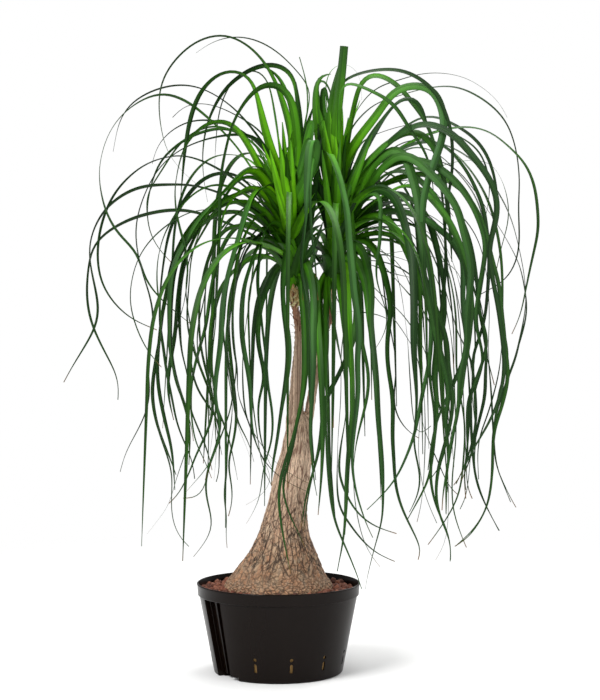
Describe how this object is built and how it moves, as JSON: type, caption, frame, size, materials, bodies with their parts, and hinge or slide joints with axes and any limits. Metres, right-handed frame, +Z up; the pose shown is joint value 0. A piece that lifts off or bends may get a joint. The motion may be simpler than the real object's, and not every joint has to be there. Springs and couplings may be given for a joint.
{
  "type": "potted ponytail palm",
  "caption": "Potted ponytail palm with a swollen corky trunk that forks into stems, heads of long narrow arching leaves, and a dark nursery pot of clay granules.",
  "frame": {"origin": "centre of the pot's flat underside", "axes": "+Z up along the plant, -Y to the front, towards the camera of the picture, +X to the right as seen from the front"},
  "size_m": [0.8079, 0.7335, 1.1035],
  "materials": {
    "pot_plastic": "satin, dark brown-black moulded plastic",
    "clay": "matte fired clay, reddish brown",
    "bark": "corky tan bark with dark upright fissures",
    "leaf": "smooth green leaf with a faint bluish sheen"
  },
  "bodies": {
    "root": {"pot": "pot_plastic", "clay_granules": "clay", "trunk": "bark", "left_head": "leaf", "right_head": "leaf"}
  },
  "joints": []
}
